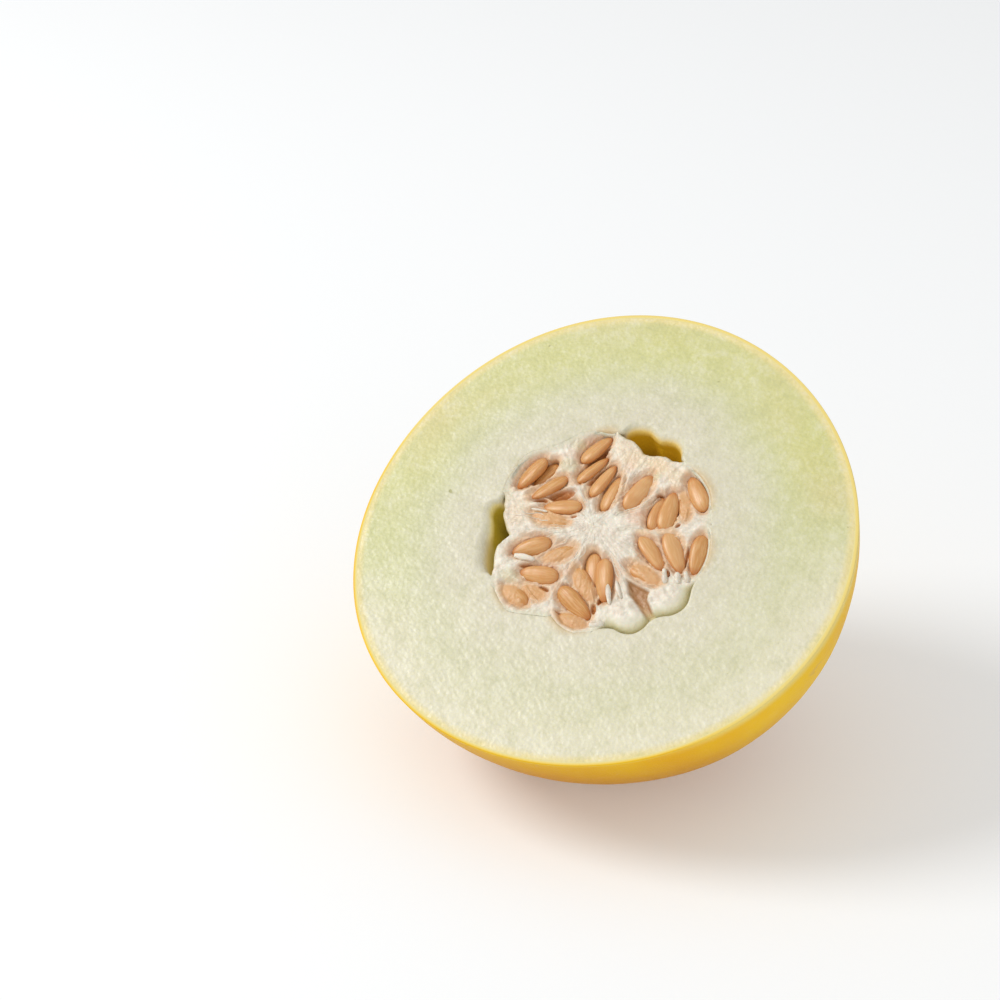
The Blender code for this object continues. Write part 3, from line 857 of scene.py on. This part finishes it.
def makePulp():
    count = pulp["grid"]
    u, v = discGrid(count)
    share = np.hypot(u, v)
    turn = np.degrees(np.arctan2(v, u))
    edge = 1000.0 * (cavityRadius(turn) - hollowWidth(turn))
    x = 1000.0 * fruit["coreX"] + edge * share * np.cos(np.radians(turn))
    y = 1000.0 * fruit["coreY"] + edge * share * np.sin(np.radians(turn))
    height, masks = sculptPulp(x, y)
    points = [placePoints(x / 1000.0, y / 1000.0, height / 1000.0)]
    index = np.arange(count * count).reshape(count, count)
    faces = np.stack([index[:-1, :-1].ravel(), index[1:, :-1].ravel(), index[1:, 1:].ravel(),
                      index[:-1, 1:].ravel()], axis=1).tolist()
    loop = np.concatenate([index[:-1, 0], index[-1, :-1], index[:0:-1, -1], index[0, :0:-1]])
    after = np.roll(np.arange(len(loop)), -1)
    last = loop
    total = count * count
    rimHeight = height[loop]
    rimTurn = turn[loop]
    rimEdge = edge[loop]
    values = {label: [data] for label, data in masks.items()}
    joined = grownShare(rimTurn)
    sides = {"olive": 1.0 - joined, "grown": joined}
    fit = pulp["fit"]
    bottom = 1000.0 * fruit["cavityDepth"] - fit
    for below in sideRings:
        deep = (below * (bottom + rimHeight) / bottom) - rimHeight
        wall = 1000.0 * wallRadius(rimTurn) * np.sqrt(1.0 - (deep / (bottom + fit)) ** 2) - fit
        radius = np.minimum(rimEdge, wall)
        points.append(corePoints(radius / 1000.0, rimTurn, -deep / 1000.0))
        here = total + np.arange(len(loop))
        faces += np.stack([last, last[after], here[after], here], axis=1).tolist()
        last = here
        total += len(loop)
        for label, data in masks.items():
            values[label].append(sides.get(label, data[loop] * 0.0))
    points.append(corePoints(0.0, 0.0, -bottom / 1000.0)[None, :])
    faces += [(int(total), int(a), int(b)) for a, b in zip(last, last[after])]
    attributes = {label: np.concatenate([*rows, [1.0]]) for label, rows in values.items()}
    return meshObject("corePulp", np.concatenate(points), faces, attributes)


# ---- white stubs and threads that lie on the pulp, in mm: thickness and line with height under the face

stubs = (
    (0.85, ((-20.5, -13.6, 0.3), (-18.6, -13.6, 0.0), (-16.2, -13.4, -0.1), (-13.9, -13.4, 0.1))),
    (0.75, ((23.5, -9.8, 0.1), (22.5, -7.8, 0.0), (21.3, -5.3, 0.5))),
    (0.85, ((26.8, -8.7, 0.1), (26.0, -7.0, 0.1), (25.1, -5.5, 0.5))),
    (0.75, ((29.2, -7.6, 0.2), (28.2, -6.2, 0.2), (27.2, -4.6, 0.5))),
    (0.7, ((11.5, -19.9, 0.1), (10.0, -17.2, -0.1), (8.5, -14.3, 0.1))),
    (0.55, ((13.8, -17.4, 0.2), (11.8, -15.0, 0.1), (10.2, -12.6, 0.3))),
    (0.8, ((8.4, -27.2, 0.3), (10.4, -26.6, 0.0), (12.2, -25.3, 0.1))),
    (0.3, ((-22.1, 1.2, 0.5), (-19.4, 1.5, 0.3), (-17.2, 1.7, 0.6))),
)


# fine threads of pulp, loosely radial, that lie on its top; each has a radius in mm and its line
threadForm = {
    "count": 110,
    "points": 9,
    "near": 4.0,
    "far": 17.0,
    "reach": (4.0, 12.0),
    "radius": (0.06, 0.15),
    "sway": 1.0,
    "brim": 3.0,
    "lowest": -1.3,
}


def makeThreads(draw):
    rows = []
    for k in range(threadForm["count"]):
        turn = draw.uniform(0.0, 2.0 * math.pi)
        start = draw.uniform(threadForm["near"], threadForm["far"])
        length = draw.uniform(*threadForm["reach"])
        share = np.linspace(0.0, 1.0, threadForm["points"])
        away = start + length * share
        sway = draw.uniform(-1.0, 1.0) * share + draw.uniform(-0.8, 0.8) * np.sin(math.pi * 2.0 * share)
        sway = threadForm["sway"] * sway
        x = 1000.0 * fruit["coreX"] + away * math.cos(turn) - sway * math.sin(turn)
        y = 1000.0 * fruit["coreY"] + away * math.sin(turn) + sway * math.cos(turn)
        height = sculptPulp(x, y)[0]
        inside = away < 1000.0 * cavityRadius(math.degrees(turn)) - threadForm["brim"]
        inside &= np.minimum.accumulate(height) > threadForm["lowest"]
        if inside.sum() > 4:
            line = tuple(zip(x[inside].tolist(), y[inside].tolist(), (-height[inside]).tolist()))
            rows.append((draw.uniform(*threadForm["radius"]), line))
    return tuple(rows)


def makeStubs(name, rows, finish, tree):
    points = []
    edges = []
    thick = []
    for width, line in rows:
        line = np.array(line)
        steps = np.linspace(0.0, len(line) - 1.0, 4 * len(line) + 1)
        finer = np.stack([np.interp(steps, np.arange(len(line)), line[:, k]) for k in range(3)], axis=1)
        for k, (x, y, depth) in enumerate(finer):
            share = 2.0 * k / (len(finer) - 1) - 1.0
            points.append(tuple(placePoints(x / 1000.0, y / 1000.0, -depth / 1000.0)))
            uneven = 1.0 + 0.12 * math.sin(0.7 * k + 40.0 * width)
            thick.append(width / 1000.0 * uneven * max(0.03, (1.0 - abs(share) ** 5) ** 0.5))
            if k:
                edges.append((len(points) - 2, len(points) - 1))
    mesh = bpy.data.meshes.new(name)
    mesh.from_pydata(points, edges, [])
    carry(mesh, "thick", thick)
    return bakeTree(linkObject(name, mesh), tree, {"Sides": 8, "Finish": finish})


# ---- shader groups and materials

def startGroup(name, inputs, outputs):
    tree = bpy.data.node_groups.new(name, "ShaderNodeTree")
    for label, kind, value in inputs:
        socket = tree.interface.new_socket(label, in_out="INPUT", socket_type=kind)
        socket.default_value = value
    for label, kind in outputs:
        tree.interface.new_socket(label, in_out="OUTPUT", socket_type=kind)
    return tree, tree.nodes.new("NodeGroupInput"), tree.nodes.new("NodeGroupOutput")


# a screen value from 0 to 255 as a linear one
def linear(value):
    value = value / 255.0
    return ((value + 0.055) / 1.055) ** 2.4 if value > 0.04 else value / 12.92


def colour(red, green, blue):
    return (linear(red), linear(green), linear(blue), 1.0)


# wet grain: fine cells over soft waves, as a height and as a mottle
def makeWetGrain():
    tree, given, made = startGroup("wetGrain", (
        ("Vector", "NodeSocketVector", (0.0, 0.0, 0.0)),
        ("Scale", "NodeSocketFloat", 900.0),
        ("Cells", "NodeSocketFloat", 0.5),
    ), (("Height", "NodeSocketFloat"), ("Mottle", "NodeSocketFloat")))
    link = tree.links.new
    fine = addNode(tree, "ShaderNodeTexNoise")
    fine.inputs["Detail"].default_value = 3.0
    fine.inputs["Roughness"].default_value = 0.6
    cells = addNode(tree, "ShaderNodeTexVoronoi", feature="F1")
    broad = addNode(tree, "ShaderNodeTexNoise")
    broad.inputs["Detail"].default_value = 2.0
    coarser = addNode(tree, "ShaderNodeMath", operation="MULTIPLY")
    coarser.inputs[1].default_value = 0.28
    height = addNode(tree, "ShaderNodeMix", data_type="FLOAT")
    mottle = addNode(tree, "ShaderNodeMix", data_type="FLOAT")
    mottle.inputs["Factor"].default_value = 0.5
    for node in (fine, cells, broad):
        link(given.outputs["Vector"], node.inputs["Vector"])
    for socket in (fine.inputs["Scale"], cells.inputs["Scale"], coarser.inputs[0]):
        link(given.outputs["Scale"], socket)
    link(coarser.outputs["Value"], broad.inputs["Scale"])
    link(given.outputs["Cells"], height.inputs["Factor"])
    link(fine.outputs["Fac"], height.inputs["A"])
    link(cells.outputs["Distance"], height.inputs["B"])
    link(broad.outputs["Fac"], mottle.inputs["A"])
    link(fine.outputs["Fac"], mottle.inputs["B"])
    link(height.outputs["Result"], made.inputs["Height"])
    link(mottle.outputs["Result"], made.inputs["Mottle"])
    return tree


# short ways to add and join nodes in one tree, with the place that its noises read
class GroupNodes:
    def __init__(self, tree, place):
        self.tree = tree
        self.place = place

    def node(self, kind, **settings):
        return addNode(self.tree, kind, **settings)

    def link(self, start, end):
        self.tree.links.new(start, end)

    def put(self, start, socket):
        if isinstance(start, (int, float, tuple)):
            socket.default_value = start
        else:
            self.link(start, socket)

    def mix(self, share, first, second):
        node = self.node("ShaderNodeMix", data_type="RGBA")
        self.put(share, node.inputs[0])
        self.put(first, node.inputs[6])
        self.put(second, node.inputs[7])
        return node.outputs[2]

    # tints laid over a base one after another, each with its share
    def layers(self, base, rows):
        for share, tint in rows:
            base = self.mix(share, base, tint)
        return base

    def spread(self, value, low, high, start=0.0, end=1.0):
        node = self.node("ShaderNodeMapRange", interpolation_type="SMOOTHSTEP")
        self.put(value, node.inputs["Value"])
        for label, number in (("From Min", low), ("From Max", high), ("To Min", start), ("To Max", end)):
            node.inputs[label].default_value = number
        return node.outputs["Result"]

    def maths(self, operation, first, second):
        node = self.node("ShaderNodeMath", operation=operation)
        self.put(first, node.inputs[0])
        self.put(second, node.inputs[1])
        return node.outputs[0]

    def times(self, first, second):
        return self.maths("MULTIPLY", first, second)

    def axis(self, label):
        node = self.node("ShaderNodeSeparateXYZ")
        self.link(self.place, node.inputs["Vector"])
        return node.outputs[label]

    def noise(self, scale, detail=2.0, seed=0.0):
        node = self.node("ShaderNodeTexNoise", noise_dimensions="4D")
        self.link(self.place, node.inputs["Vector"])
        node.inputs["W"].default_value = seed
        node.inputs["Scale"].default_value = scale
        node.inputs["Detail"].default_value = detail
        return node.outputs["Fac"]

    def group(self, tree, **values):
        node = self.node("ShaderNodeGroup", node_tree=tree)
        self.link(self.place, node.inputs["Vector"])
        for label, value in values.items():
            node.inputs[label].default_value = value
        return node


# a material with its Principled shader
class Finish(GroupNodes):
    def __init__(self, name):
        self.material = bpy.data.materials.new(name)
        self.material.use_nodes = True
        tree = self.material.node_tree
        self.shader = tree.nodes["Principled BSDF"]
        super().__init__(tree, tree.nodes.new("ShaderNodeTexCoord").outputs["Object"])

    def attribute(self, label):
        return self.node("ShaderNodeAttribute", attribute_name=label).outputs["Fac"]

    def bump(self, height, distance):
        node = self.node("ShaderNodeBump")
        node.inputs["Strength"].default_value = 1.0
        node.inputs["Distance"].default_value = distance
        self.link(height, node.inputs["Height"])
        self.link(node.outputs["Normal"], self.shader.inputs["Normal"])

    def set(self, **values):
        for label, value in values.items():
            self.put(value, self.shader.inputs[label.replace("_", " ")])


def goldenSkin(grain):
    made = Finish("goldenSkin")
    pores = made.group(grain, Scale=1500.0, Cells=0.6)
    mottle = pores.outputs["Mottle"]
    broad = made.spread(made.noise(26.0, 3.0, 1.0), 0.36, 0.64)
    warm = made.spread(made.noise(14.0, 2.0, 2.0), 0.5, 0.7)
    shaded = made.spread(made.axis("Z"), 0.042, 0.012, 0.0, 0.85)
    # small flecks that keep to a few zones, and wide scabs
    flat = made.node("ShaderNodeMapping")
    flat.inputs["Scale"].default_value = (1.0, 1.0, 3.0)
    made.link(made.place, flat.inputs["Vector"])
    scab = made.node("ShaderNodeTexNoise")
    scab.inputs["Scale"].default_value = 95.0
    made.link(flat.outputs["Vector"], scab.inputs["Vector"])
    scab = made.spread(scab.outputs["Fac"], 0.67, 0.71)
    scab = made.times(scab, made.spread(made.noise(24.0, 1.0, 10.0), 0.55, 0.62))
    fleck = made.spread(made.noise(330.0, 3.0, 3.0), 0.67, 0.72)
    fleck = made.times(fleck, made.spread(made.noise(45.0, 1.0, 4.0), 0.5, 0.62))
    marks = made.maths("MAXIMUM", fleck, scab)
    inset = made.attribute("inset")
    base = made.layers(made.mix(broad, colour(235, 176, 0), colour(242, 196, 6)), (
        (made.times(warm, 0.3), colour(226, 150, 0)),
        (made.spread(mottle, 0.5, 0.75, 0.0, 0.2), colour(244, 204, 10)),
        (shaded, colour(194, 130, 0)),
        (made.times(marks, 0.85), colour(214, 172, 100)),
        (made.spread(made.attribute("cork"), 0.1, 0.7), colour(226, 200, 172)),
        # the rind's paler cut edge, with painted light from behind on the far side of the rim
        (made.spread(inset, 0.0, 0.5), colour(238, 208, 100)),
        (made.spread(inset, 0.3, 1.0), colour(232, 220, 160)),
    ))
    made.set(Base_Color=base, Roughness=made.spread(mottle, 0.3, 0.7, 0.38, 0.48), Specular_IOR_Level=0.08)
    made.bump(made.maths("ADD", pores.outputs["Height"], made.times(marks, 0.7)), 0.00008)
    return made.material


# the flesh's own colour, from the cavity's edge out to the rind, with its wet mottle; it is
# yellower on the far side of the cut face and whiter on the near side
def makeFleshTone(grain):
    tree, given, made = startGroup("fleshTone", (
        ("Vector", "NodeSocketVector", (0.0, 0.0, 0.0)),
        ("Spread", "NodeSocketFloat", 0.0),
    ), (("Color", "NodeSocketColor"), ("Height", "NodeSocketFloat"), ("Mottle", "NodeSocketFloat")))
    tone = GroupNodes(tree, given.outputs["Vector"])
    spread = given.outputs["Spread"]
    near = placePoints(0.34, -0.94, 0.0) - placePoints(0.0, 0.0, 0.0)
    across = tone.node("ShaderNodeVectorMath", operation="DOT_PRODUCT")
    tone.link(tone.place, across.inputs[0])
    across.inputs[1].default_value = tuple(near)
    middle = float(placePoints(0.0, 0.0, 0.0) @ near)
    fair = tone.spread(across.outputs["Value"], middle - 0.045, middle + 0.06)
    wet = tone.group(grain, Scale=820.0, Cells=0.45)
    mottle = wet.outputs["Mottle"]
    green = tone.spread(tone.noise(17.0, 2.0, 5.0), 0.3, 0.7)
    green = tone.times(green, tone.spread(fair, 0.3, 0.9, 1.0, 0.25))
    peach = tone.spread(tone.noise(21.0, 2.0, 9.0), 0.5, 0.7)
    peach = tone.times(peach, tone.spread(spread, 0.5, 0.95))
    yellow = tone.times(tone.spread(fair, 0.5, 0.0, 0.0, 0.34), tone.spread(spread, 0.3, 0.8))
    pale = tone.times(tone.spread(fair, 0.3, 0.9), tone.spread(spread, 0.5, 1.0))
    inner = tone.mix(tone.spread(spread, 0.0, 0.6), colour(214, 208, 184), colour(208, 207, 170))
    base = tone.layers(inner, (
        (tone.times(green, tone.spread(spread, 0.25, 0.85)), colour(204, 206, 138)),
        (tone.times(peach, 0.5), colour(222, 200, 150)),
        (yellow, colour(214, 208, 116)),
        (tone.spread(fair, 0.4, 1.0, 0.0, 0.45), colour(222, 216, 192)),
        (tone.times(pale, 0.8), colour(228, 222, 196)),
        (tone.spread(spread, 0.93, 1.0), colour(232, 216, 152)),
        (tone.spread(mottle, 0.42, 0.7, 0.0, 0.35), colour(236, 233, 214)),
        (tone.spread(mottle, 0.5, 0.3, 0.0, 0.3), colour(184, 186, 142)),
        (tone.spread(tone.noise(280.0, 1.0, 12.0), 0.76, 0.8, 0.0, 0.7), colour(164, 160, 100)),
    ))
    tone.link(base, made.inputs["Color"])
    tone.link(wet.outputs["Height"], made.inputs["Height"])
    tone.link(mottle, made.inputs["Mottle"])
    return tree


# the walls of the hollows darken with depth to olive on the left and golden elsewhere, partly the flesh's own
# colour and partly painted shade, and a painted glow stands in for the light that comes through them
def paleFlesh(fleshTone):
    made = Finish("paleFlesh")
    tone = made.group(fleshTone)
    made.link(made.attribute("spread"), tone.inputs["Spread"])
    deep = made.attribute("deep")
    left = made.spread(made.axis("X"), -0.012, -0.022)
    base = made.layers(tone.outputs["Color"], (
        # the tan halo beside the seeds: partly a stain, partly painted shade
        (made.times(made.attribute("halo"), 0.75), colour(204, 174, 122)),
        (made.spread(deep, 0.02, 0.45), made.mix(left, colour(206, 176, 96), colour(200, 186, 124))),
        (made.spread(deep, 0.25, 1.0), made.mix(left, colour(184, 142, 24), colour(166, 148, 46))),
    ))
    black = colour(0, 0, 0)
    glow = made.mix(made.spread(deep, 0.03, 0.4), black, base)
    glow = made.mix(made.spread(deep, 1.4, 4.0, 0.0, 0.8), glow, black)
    made.set(Base_Color=base, Roughness=made.spread(tone.outputs["Mottle"], 0.3, 0.7, 0.5, 0.36))
    made.set(Emission_Color=glow, Emission_Strength=0.32)
    made.set(Subsurface_Weight=0.25, Subsurface_Radius=(0.004, 0.0036, 0.002))
    made.bump(tone.outputs["Height"], 0.00022)
    return made.material


def whitePulp(grain, fleshTone):
    made = Finish("whitePulp")
    wet = made.group(grain, Scale=700.0, Cells=0.35)
    tone = made.group(fleshTone)
    fibre = made.attribute("fibre")
    blotch = made.spread(made.noise(240.0, 3.0, 7.0), 0.35, 0.65)
    fine = made.spread(made.noise(420.0, 2.0, 6.0), 0.35, 0.65)
    lobe = made.maths("ADD", made.times(blotch, 0.35), 0.6)
    base = made.layers(made.mix(fine, colour(218, 208, 190), colour(238, 232, 216)), (
        (made.times(blotch, 0.3), colour(226, 206, 188)),
        (made.attribute("cream"), colour(232, 206, 168)),
        (made.attribute("grey"), colour(204, 194, 182)),
        (made.times(made.attribute("lobe"), lobe),
         made.mix(blotch, colour(212, 164, 120), colour(230, 198, 160))),
        (made.times(made.attribute("rosy"), made.spread(fibre, 0.95, 0.1, 0.45, 0.9)), colour(218, 178, 148)),
        (made.times(made.attribute("film"), made.spread(fibre, 1.2, 0.0, 0.75, 1.0)), colour(216, 166, 112)),
        (made.times(made.attribute("domed"), 0.8), colour(226, 221, 200)),
        # painted shade in the pulp's low places
        (made.times(made.attribute("low"), 0.75), colour(196, 144, 92)),
        # painted shade: the pits are tinted brown
        (made.times(made.attribute("brown"), 0.9), colour(190, 118, 52)),
        # the torn corner is browner
        (made.attribute("bark"),
         made.mix(made.spread(fibre, 0.3, 0.8), colour(176, 130, 86), colour(208, 174, 132))),
        # olive at the pulp's free edge and in a few patches: partly its own greenish tone, partly painted
        # shade
        (made.attribute("moss"), colour(200, 190, 138)),
        (made.attribute("olive"), colour(204, 168, 52)),
        (made.attribute("grown"), tone.outputs["Color"]),
    ))
    made.set(Base_Color=base, Roughness=made.spread(wet.outputs["Mottle"], 0.3, 0.7, 0.5, 0.34))
    made.set(Subsurface_Weight=0.3, Subsurface_Radius=(0.003, 0.002, 0.0014))
    made.bump(wet.outputs["Height"], 0.0003)
    return made.material


def tanSeeds(grain):
    made = Finish("tanSeeds")
    wet = made.group(grain, Scale=500.0, Cells=0.2)
    along = made.attribute("along")
    aside = made.attribute("aside")
    tone = made.attribute("tone")
    # lighter streaks that run along each seed and differ from seed to seed, partly the seed's own tone and
    # partly painted highlight
    lengthwise = made.node("ShaderNodeCombineXYZ")
    for label, value, scale in (("X", along, 1.1), ("Y", aside, 4.0), ("Z", tone, 30.0)):
        made.link(made.times(value, scale), lengthwise.inputs[label])
    streak = made.node("ShaderNodeTexNoise")
    streak.inputs["Scale"].default_value = 1.6
    made.link(lengthwise.outputs["Vector"], streak.inputs["Vector"])
    # painted shade: the seed's flanks are darker orange
    rimShade = made.spread(made.maths("ABSOLUTE", aside, 0.0), 0.72, 1.0, 0.0, 0.55)
    base = made.layers(made.mix(tone, colour(198, 138, 70), colour(222, 172, 116)), (
        (made.spread(streak.outputs["Fac"], 0.42, 0.62, 0.0, 0.45), colour(230, 188, 136)),
        (made.spread(made.noise(150.0, 2.0, 8.0), 0.48, 0.7, 0.0, 0.5), colour(204, 138, 74)),
        (rimShade, colour(198, 126, 62)),
        (made.spread(along, -0.55, -1.0, 0.0, 0.7), colour(190, 112, 50)),
        (made.spread(along, 0.75, 1.0, 0.0, 0.4), colour(200, 130, 68)),
    ))
    made.set(Base_Color=base, Roughness=made.spread(wet.outputs["Mottle"], 0.35, 0.65, 0.3, 0.44))
    made.set(Subsurface_Weight=0.3, Subsurface_Radius=(0.0025, 0.0014, 0.0007))
    made.bump(wet.outputs["Height"], 0.00008)
    return made.material


# ---- pieces

grain = makeWetGrain()
fleshTone = makeFleshTone(grain)
finishes = {
    "skin": goldenSkin(grain),
    "flesh": paleFlesh(fleshTone),
    "pulp": whitePulp(grain, fleshTone),
    "seeds": tanSeeds(grain),
}

skinPiece = makeSkin()
skinPiece.data.materials.append(finishes["skin"])
print("skin:", len(skinPiece.data.polygons), "faces")

fleshPiece = makeFlesh()
fleshPiece.data.materials.append(finishes["flesh"])
print("flesh:", len(fleshPiece.data.polygons), "faces")

pulpPiece = makePulp()
pulpPiece.data.materials.append(finishes["pulp"])
print("pulp:", len(pulpPiece.data.polygons), "faces")

bunchTree = makeBunchTree()
oneSeed = makeSeedForm()
bunches = []
for number, rows in seedRows.items():
    bunches.append(makeBunch("bunch" + number, rows, oneSeed, finishes["seeds"], bunchTree))
bpy.data.objects.remove(oneSeed)
print("seeds:", sum(len(rows) for rows in seedRows.values()), "in", len(bunches), "bunches")

strandTree = makeStrandTree()
threads = makeThreads(np.random.default_rng(7))
stubPiece = makeStubs("stubs", stubs + threads, finishes["pulp"], strandTree)
print("stubs:", len(stubPiece.data.polygons), "faces")

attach(skinPiece, "root")
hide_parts("rind")
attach(fleshPiece, "root")
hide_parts("flesh")
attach(pulpPiece, "root")
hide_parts("pulp")
for number, bunch in zip(seedRows, bunches):
    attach(bunch, "root")
    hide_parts("seeds_" + number)
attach(stubPiece, "root")

# ---- floor, light and camera

studio = {
    "floorHalf": 4.0,
    "floorColour": (0.785, 0.8, 0.81, 1.0),
    "floorGlow": 0.2,
    "world": 0.62,
    "azimuth": 26.26,
    "elevation": 30.0,
    "distance": 0.595,
    "focal": 2194.0,
    "faceAt": (601.1, 528.4),
    "picture": 1000.0,
    "sensor": 36.0,
    "lampAim": (0.0, 0.0, 0.05),
    "lamps": (
        ("keyLight", (-1.1, -0.5, 1.15), 0.8, 14.0, (1.0, 0.99, 0.97)),
        ("fillLight", (1.1, -0.9, 0.6), 1.2, 2.5, (0.97, 0.98, 1.0)),
    ),
}


def makeFloor():
    half = studio["floorHalf"]
    corners = [(-half, -half, 0.0), (half, -half, 0.0), (half, half, 0.0), (-half, half, 0.0)]
    mesh = bpy.data.meshes.new("floor")
    mesh.from_pydata(corners, [], [(0, 1, 2, 3)])
    floor = linkObject("floor", mesh)
    made = Finish("paleFloor")
    made.set(Base_Color=studio["floorColour"], Roughness=0.9, Specular_IOR_Level=0.2)
    made.set(Emission_Color=(1.0, 1.0, 1.0, 1.0), Emission_Strength=studio["floorGlow"])
    mesh.materials.append(made.material)


def makeLamp(name, where, size, power, tint):
    lamp = bpy.data.lights.new(name, "AREA")
    lamp.shape = "DISK"
    lamp.size = size
    lamp.energy = power
    lamp.color = tint
    holder = linkObject(name, lamp)
    holder.location = where
    aim = Vector(studio["lampAim"]) - Vector(where)
    holder.rotation_euler = aim.to_track_quat("-Z", "Y").to_euler()


def makeWorld():
    world = bpy.data.worlds.new("paleRoom")
    world.use_nodes = True
    sky = world.node_tree.nodes["Background"]
    sky.inputs["Color"].default_value = (1.0, 1.0, 1.0, 1.0)
    sky.inputs["Strength"].default_value = studio["world"]
    bpy.context.scene.world = world


def makeCamera():
    turn = math.radians(studio["azimuth"])
    rise = math.radians(studio["elevation"])
    back = Vector((math.sin(turn) * math.cos(rise), -math.cos(turn) * math.cos(rise), math.sin(rise)))
    right = Vector((math.cos(turn), math.sin(turn), 0.0))
    up = back.cross(right)
    face = Vector(placePoints(0.0, 0.0, 0.0))
    middle = studio["picture"] / 2.0
    perPixel = studio["distance"] / studio["focal"]
    aside = (studio["faceAt"][0] - middle) * perPixel
    below = (studio["faceAt"][1] - middle) * perPixel
    aim = face - right * aside + up * below
    lens = bpy.data.cameras.new("camera")
    lens.sensor_width = studio["sensor"]
    lens.lens = studio["focal"] * studio["sensor"] / studio["picture"]
    lens.clip_start = 0.01
    lens.clip_end = 50.0
    camera = linkObject("camera", lens)
    camera.location = face + back * studio["distance"]
    camera.rotation_euler = (aim - camera.location).to_track_quat("-Z", "Y").to_euler()
    bpy.context.scene.camera = camera


makeFloor()
makeWorld()
for name, where, size, power, tint in studio["lamps"]:
    makeLamp(name, where, size, power, tint)
makeCamera()
bpy.context.scene.view_settings.view_transform = "Standard"
print("stage set")
